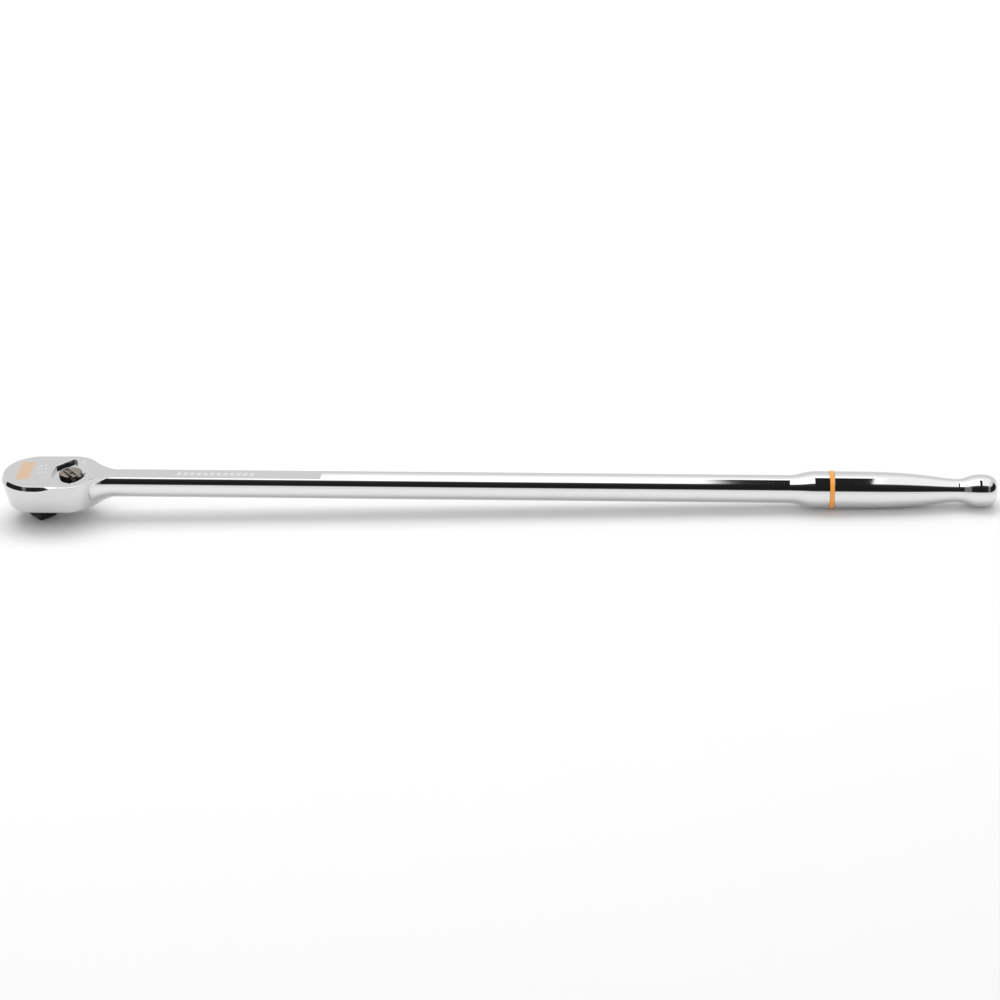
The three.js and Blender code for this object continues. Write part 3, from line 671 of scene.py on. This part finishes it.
worked(gear, laid(turned("ball_bore", sharp(
    (0, -2.9), (2.55, -2.9), (2.55, 6.05), (2.3, 6.2), (2.3, 8), (0, 8)), 48), 5.6))
settled(gear, 24)
phosphate = finish("Black phosphate", (0.020, 0.019, 0.018), 0.55, 0.36, 0.55, 1600.0, 0.35,
                   0.00001, 0.3, worn_to=(0.16, 0.155, 0.15), wear=0.45, width=0.00035)
painted(gear, phosphate, "drive", "black_steel", "drive_gear")

# ---- Detent ball -----------------------------------------------------------------------------
# A hardened and ground steel ball in one flat of the square. A staked rim keeps it in.
bpy.ops.mesh.primitive_ico_sphere_add(subdivisions=5, radius=2.4 * MM)
ball = bpy.context.object
ball.name = ball.data.name = "detent_ball_ground"
s = math.sqrt(0.5)
for v in ball.data.vertices:
    v.co += Vector((-s * 5.05, s * 5.05, 5.6)) * MM
settled(ball)
ground = finish("Ground steel", (0.56, 0.56, 0.57), 1.0, 0.12, 0.22, 1500.0, 0.05, 0.000005, 0.05)
painted(ball, ground, "ball", "ground_steel", "detent_ball")

# ---- Cover plate -----------------------------------------------------------------------------
# Blanked and black-oxidised steel plate that closes the pocket from below. It sits in a ledge
# of the head, and its bore carries the gear's hub.
cover = plate("cover_plate_black", cover_plan(0), 11.5, 13.2, 32)
open_up(cover)
pick("EDGE", lambda a, b: a.z < 11.51 and b.z < 11.51)
rounded(0.25, 3)
close_up()
worked(cover, turned("cover_bore", sharp(
    (0, 9), (9.85, 9), (9.85, 11.5), (9.5, 11.85), (9.5, 12.2), (11.3, 12.2), (11.3, 15), (0, 15)),
    96))
for x, y in screw_places:
    worked(cover, turned("countersink", sharp(
        (0, 10), (2.5, 10), (2.4, 11.5), (1.5, 12.4), (1.5, 15), (0, 15)), 48, (x, y, 0)))
settled(cover, 24)
oxide = finish("Black oxide", (0.030, 0.030, 0.032), 0.7, 0.28, 0.42, 700.0, 0.15, 0.00001, 0.2,
               worn_to=(0.22, 0.22, 0.22), wear=0.35, width=0.00025)
painted(cover, oxide, "body", "black_steel", "cover_plate")

# ---- Cover screws ----------------------------------------------------------------------------
# Three M2.4 countersunk screws with hexagon sockets, black oxidised, which hold the plate.
head_low = 11.6
screw = turned("cover_screw_one", sharp((0, head_low)) + [
    [(1.95, head_low), None, (2.06, head_low)],
    [(2.1, head_low + 0.15), (2.1, head_low + 0.04), None]]
    + sharp((1.2, head_low + 1.05), (1.2, 17.2), (0.8, 17.6), (0, 17.6)), 48, fineness=4)
hexagon = [(1.0 * math.cos(n * math.pi / 3), 1.0 * math.sin(n * math.pi / 3)) for n in range(6)]
worked(screw, plate("socket", sharp(*hexagon), head_low - 1, head_low + 1.1))
open_up(screw)
pick("EDGE", lambda a, b: abs(a.z - head_low) < 0.01 and abs(b.z - head_low) < 0.01
     and math.hypot(a.x, a.y) < 1.02 and math.hypot(b.x, b.y) < 1.02)
rounded(0.07, 2)
close_up()
settled(screw, 24)
screw_steel = finish("Screw steel", (0.045, 0.045, 0.048), 0.8, 0.25, 0.4, 900.0, 0.1, 0.00001,
                     0.2, worn_to=(0.3, 0.3, 0.3), wear=0.5, width=0.0002)
for n, (x, y) in enumerate(screw_places):
    one = screw if n == 2 else screw.copy()
    if n != 2:
        one.data = screw.data.copy()
        bpy.context.scene.collection.objects.link(one)
    one.name = one.data.name = f"cover_screw_{n + 1}_black"
    take(one)
    one.data.transform(Matrix.Translation(Vector((x, y, 0)) * MM))
    painted(one, screw_steel, "body", "screw_steel", f"cover_screw_{n + 1}")

# ---- Reversing lever ---------------------------------------------------------------------------
# Zinc-nickel plated steel casting: a hub in the recess, a thumb pad with a raised rim and a
# ribbed end, and a shaft that reaches down between the pawls.
lever = turned("reversing_lever_cast", sharp((0, 28.25), (7.0, 28.25)) + [
    [(7.2, 28.45), None, None], [(7.1, 29.9), None, (7.0, 30.25)],
    [(6.3, 30.45), (6.7, 30.4), (4.6, 30.8)], [(0, 31.05), (2.6, 31.05), None]], 96, fineness=8)
# the arm's outline has shallow thumb ribs round its end
arm_line = [(-4.2, 1.0), (-4.6, -1.2), (-3.6, -3.2), (0, -3.9), (4.5, -4.1)]
for n in range(4):
    arm_line += [(5.6 + 1.15 * n, -4.15), (5.9 + 1.15 * n, -3.6), (6.45 + 1.15 * n, -3.6)]
arm_line += [(10.2, -4.0), (10.7, -2.9)]
for n in range(3):
    arm_line += [(10.75, -2.3 + 1.25 * n), (10.25, -2.05 + 1.25 * n), (10.25, -1.5 + 1.25 * n)]
arm_line += [(10.5, 1.5), (9.8, 2.2), (5, 2.5), (0, 2.1)]
arm = plate("thumb_arm", sharp(*arm_line), 28.5, 31.0)
worked(lever, arm, "UNION")


def pad_line(margin, corner=0.55):
    """Outline of the raised pad, moved in by a margin, with its corners cut off."""
    left, near, far = -3.4 + margin, -3.5 + margin, 0.5 - margin
    right_near, right_far = 10.5 - margin, 8.9 - 1.1 * margin
    return sharp(
        (left, near + corner), (left + corner, near), (right_near - corner, near),
        (right_near - 0.2 * corner, near + corner), (right_far + 0.2 * corner, far - corner),
        (right_far - corner, far), (left + corner, far), (left, far - corner))


worked(lever, plate("thumb_pad", pad_line(0), 30.5, 31.9), "UNION")
worked(lever, plate("pad_pocket", pad_line(0.5, 0.4), 31.6, 33))
worked(lever, plate("sunk_mark", sharp((3.3, -2.5), (8.9, -2.5), (8.2, -0.5), (3.3, -0.5)),
                    31.15, 33))
settled(lever, 30)
nickel = finish("Cast nickel", (0.60, 0.54, 0.46), 1.0, 0.13, 0.24, 900.0, 0.12, 0.00002, 0.12,
                worn_to=(0.75, 0.72, 0.68), wear=0.9, width=0.0003)
# painted light on the lever: a painted highlight makes the pad's rim pale, painted shade darkens
# its pocket to brown, and painted shade blackens the upright walls fully and the faces that look
# up by half
tree = nickel.node_tree
shader = tree.nodes["Principled BSDF"]
bare_nickel = shader.inputs["Base Color"].links[0].from_socket
lever_place = add(tree, "TexCoord")
lever_axes = add(tree, "SeparateXYZ")
lever_normal = add(tree, "NewGeometry")
lever_slope = add(tree, "SeparateXYZ")
facing = add(tree, "MapRange", [(1, 0.45), (2, 0.85)])
# share of the cast colour kept over the painted shade: none on upright walls, half on faces that
# look up
wear_and_lit_share = add(tree, "Math", [(1, 0.5)], operation="SUBTRACT", use_clamp=True)
pocket = add(tree, "MapRange", [(1, 31.4 * MM), (2, 31.5 * MM)])
rim = add(tree, "MapRange", [(1, 31.7 * MM), (2, 31.8 * MM)])
# painted shade in the pocket, painted highlight on the rim, painted shade on the walls
painted_pocket_shade = add(tree, "Mix", [(7, (0.30, 0.235, 0.19, 1))], data_type="RGBA")
painted_rim_highlight = add(tree, "Mix", [(7, (0.95, 0.86, 0.80, 1))], data_type="RGBA")
painted_wall_shade = add(tree, "Mix", [(6, (0.035, 0.03, 0.027, 1))], data_type="RGBA")
wire(tree, (lever_place.outputs["Object"], lever_axes.inputs[0]),
     (lever_axes.outputs[2], pocket.inputs[0]), (lever_axes.outputs[2], rim.inputs[0]),
     (lever_normal.outputs["Normal"], lever_slope.inputs[0]),
     (lever_slope.outputs[2], facing.inputs[0]), (facing.outputs[0], wear_and_lit_share.inputs[0]),
     (pocket.outputs[0], painted_pocket_shade.inputs[0]), (bare_nickel, painted_pocket_shade.inputs[6]),
     (rim.outputs[0], painted_rim_highlight.inputs[0]), (painted_pocket_shade.outputs[2], painted_rim_highlight.inputs[6]),
     (wear_and_lit_share.outputs[0], painted_wall_shade.inputs[0]), (painted_rim_highlight.outputs[2], painted_wall_shade.inputs[7]),
     (painted_wall_shade.outputs[2], shader.inputs["Base Color"]))
turn = math.radians(-50)
for v in lever.data.vertices:
    x, y, z = v.co
    v.co = (LEVER_AT * MM + math.cos(turn) * x - math.sin(turn) * y,
            math.sin(turn) * x + math.cos(turn) * y, z)
painted(lever, nickel, "lever", "cast_lever", "reversing_lever")

# ---- Pieces inside the head --------------------------------------------------------------------
# Pawls, plungers, springs, washers, seals and clip keep their CAD shape and get their finish.
tool_steel = finish("Tool steel", (0.35, 0.34, 0.33), 1.0, 0.25, 0.4, 900.0, 0.2, 0.00001, 0.15)
spring_steel = finish("Spring steel", (0.32, 0.32, 0.33), 1.0, 0.2, 0.32, 1200.0, 0.1, 0.00001)
bronze = finish("Sintered bronze", (0.45, 0.27, 0.11), 1.0, 0.35, 0.5, 1800.0, 0.3, 0.00001)
rubber = finish("Seal rubber", (0.02, 0.02, 0.02), 0.0, 0.55, 0.75, 1200.0, 0.2, 0.00001)
inside = {
    "upper_pawl": tool_steel, "lower_pawl": tool_steel, "upper_plunger": ground,
    "lower_plunger": ground, "upper_plunger_spring": spring_steel,
    "lower_plunger_spring": spring_steel, "detent_spring": spring_steel,
    "wave_washer": spring_steel, "lever_clip": spring_steel, "thrust_washer": bronze,
    "gear_seal": rubber, "lever_seal": rubber,
}
for name, material in inside.items():
    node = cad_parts[name]
    node.data.materials.clear()
    node.data.materials.append(material)

# ---- Stage -------------------------------------------------------------------------------------
# A pale floor that the square's end and the knob both touch, a white studio of soft panels
# drawn in the world, one overhead light, and the camera.
square_edge = 7.5
tilt = (BAR_AXIS - KNOB_RADIUS) / (KNOB_AT - square_edge)
bpy.ops.mesh.primitive_grid_add(x_subdivisions=20, y_subdivisions=20, size=14)
floor = bpy.context.object
floor.name = "floor"
for v in floor.data.vertices:
    v.co.z = (v.co.x - square_edge * MM) * tilt - 0.05 * MM
paper = finish("Pale paper", (0.80, 0.80, 0.80), 0.0, 0.9, 1.0, 30.0, shade=0.004)
floor.data.materials.append(paper)

world = bpy.data.worlds.new("Studio")
bpy.context.scene.world = world
world.use_nodes = True
sky = world.node_tree
sky.nodes.clear()
look = add(sky, "TexCoord").outputs["Generated"]
axes = add(sky, "SeparateXYZ")
wire(sky, (look, axes.inputs[0]))


def calc(operation, a, b=None):
    """A sum in the world's nodes, of numbers or outputs."""
    node = add(sky, "Math", operation=operation)
    for socket, value in ((0, a), (1, b)):
        if value is None:
            continue
        if isinstance(value, (int, float)):
            node.inputs[socket].default_value = value
        else:
            wire(sky, (value, node.inputs[socket]))
    return node.outputs[0]


# elevation over the camera's side: 0 at the near horizon, 90 overhead, 180 at the far horizon
toward = calc("MULTIPLY", axes.outputs[1], -1.0)
rise = calc("MULTIPLY", calc("ARCTAN2", axes.outputs[2], toward), 180 / math.pi)
ramp = add(sky, "ValToRGB")
wire(sky, (calc("DIVIDE", calc("ADD", rise, 90.0), 360.0), ramp.inputs[0]))
stops = [(-90, 0.92), (3, 0.95), (10, 0.9), (16, 0.02), (40, 0.016), (59, 0.05), (65, 1.15),
         (118, 1.15), (131, 0.95), (145, 0.80), (180, 0.80), (270, 0.9)]
bars = ramp.color_ramp.elements
while len(bars) > 1:
    bars.remove(bars[-1])
for n, (angle, value) in enumerate(stops):
    at = (angle + 90) / 360
    stop = bars[0] if n == 0 else bars.new(at)
    stop.position = at
    warm = 1.0 if value > 0.1 else 0.85
    stop.color = (value, value * (0.5 + 0.5 * warm), value * warm, 1)


def fade(value, start, end):
    """0 at the start and 1 at the end."""
    node = add(sky, "MapRange", [(1, start), (2, end)])
    wire(sky, (value, node.inputs[0]))
    return node.outputs[0]


def mixed(old, share, tone):
    """A grey tone laid over the old colour."""
    node = add(sky, "Mix", [(7, (tone, tone, tone, 1))], data_type="RGBA")
    wire(sky, (share, node.inputs[0]), (old, node.inputs[6]))
    return node.outputs[2]


# the overhead panel is brighter to the left, has a dark stand before it, and ends at the sides
sideways = axes.outputs[0]
left_panel = calc("MULTIPLY", calc("MULTIPLY", fade(rise, 62, 66), fade(rise, 116, 104)),
                  fade(sideways, 0.18, 0.11))
stand = calc("MULTIPLY", calc("MULTIPLY", fade(rise, 103, 101), fade(rise, 40, 45)),
             calc("MULTIPLY", fade(sideways, 0.026, 0.036), fade(sideways, 0.140, 0.130)))
beside = fade(calc("ABSOLUTE", sideways), 0.42, 0.62)
height = axes.outputs[2]
side_band = calc("MULTIPLY", fade(height, 0.16, 0.21), calc("MULTIPLY", fade(height, 0.72, 0.66),
                 fade(axes.outputs[1], 0.31, 0.25)))
tones = mixed(mixed(mixed(ramp.outputs[0], left_panel, 1.6), stand, 0.018), beside, 0.82)
tones = mixed(tones, calc("MULTIPLY", beside, side_band), 0.02)
glow = add(sky, "Background", [("Strength", 1.0)])
plain = add(sky, "Background", [("Color", (1, 1, 1, 1)), ("Strength", 1.0)])
seen = add(sky, "LightPath")
choose = add(sky, "MixShader")
even = add(sky, "Background", [("Color", (0.9, 0.9, 0.9, 1)), ("Strength", 1.0)])
soften = add(sky, "MixShader")
end = sky.nodes.new("ShaderNodeOutputWorld")
wire(sky, (tones, glow.inputs[0]), (seen.outputs["Is Camera Ray"], choose.inputs[0]),
     (seen.outputs["Is Diffuse Ray"], soften.inputs[0]), (glow.outputs[0], soften.inputs[1]),
     (even.outputs[0], soften.inputs[2]), (soften.outputs[0], choose.inputs[1]),
     (plain.outputs[0], choose.inputs[2]), (choose.outputs[0], end.inputs[0]))

lamp = bpy.data.lights.new("Overhead", "AREA")
lamp.shape, lamp.size, lamp.size_y, lamp.energy = "RECTANGLE", 1.8, 1.2, 18.0
overhead = bpy.data.objects.new("Overhead", lamp)
bpy.context.scene.collection.objects.link(overhead)
overhead.location = (0.0, 0.6, 1.6)
overhead.visible_glossy = False
overhead.visible_camera = False

lens = bpy.data.cameras.new("Camera")
lens.lens, lens.sensor_width = 90.0, 36.0
camera = bpy.data.objects.new("Camera", lens)
bpy.context.scene.collection.objects.link(camera)
camera.location = (0.34531, -1.36357, 0.73342)
yaw, pitch, roll = (math.radians(a) for a in (2.5291, 90 - 27.8091, -0.6447))
camera.rotation_euler = (Matrix.Rotation(yaw, 3, "Z") @ Matrix.Rotation(pitch, 3, "X")
                         @ Matrix.Rotation(roll, 3, "Z")).to_euler()
lens.clip_start, lens.clip_end = 0.05, 60
bpy.context.scene.camera = camera
bpy.context.scene.view_settings.view_transform = "Standard"
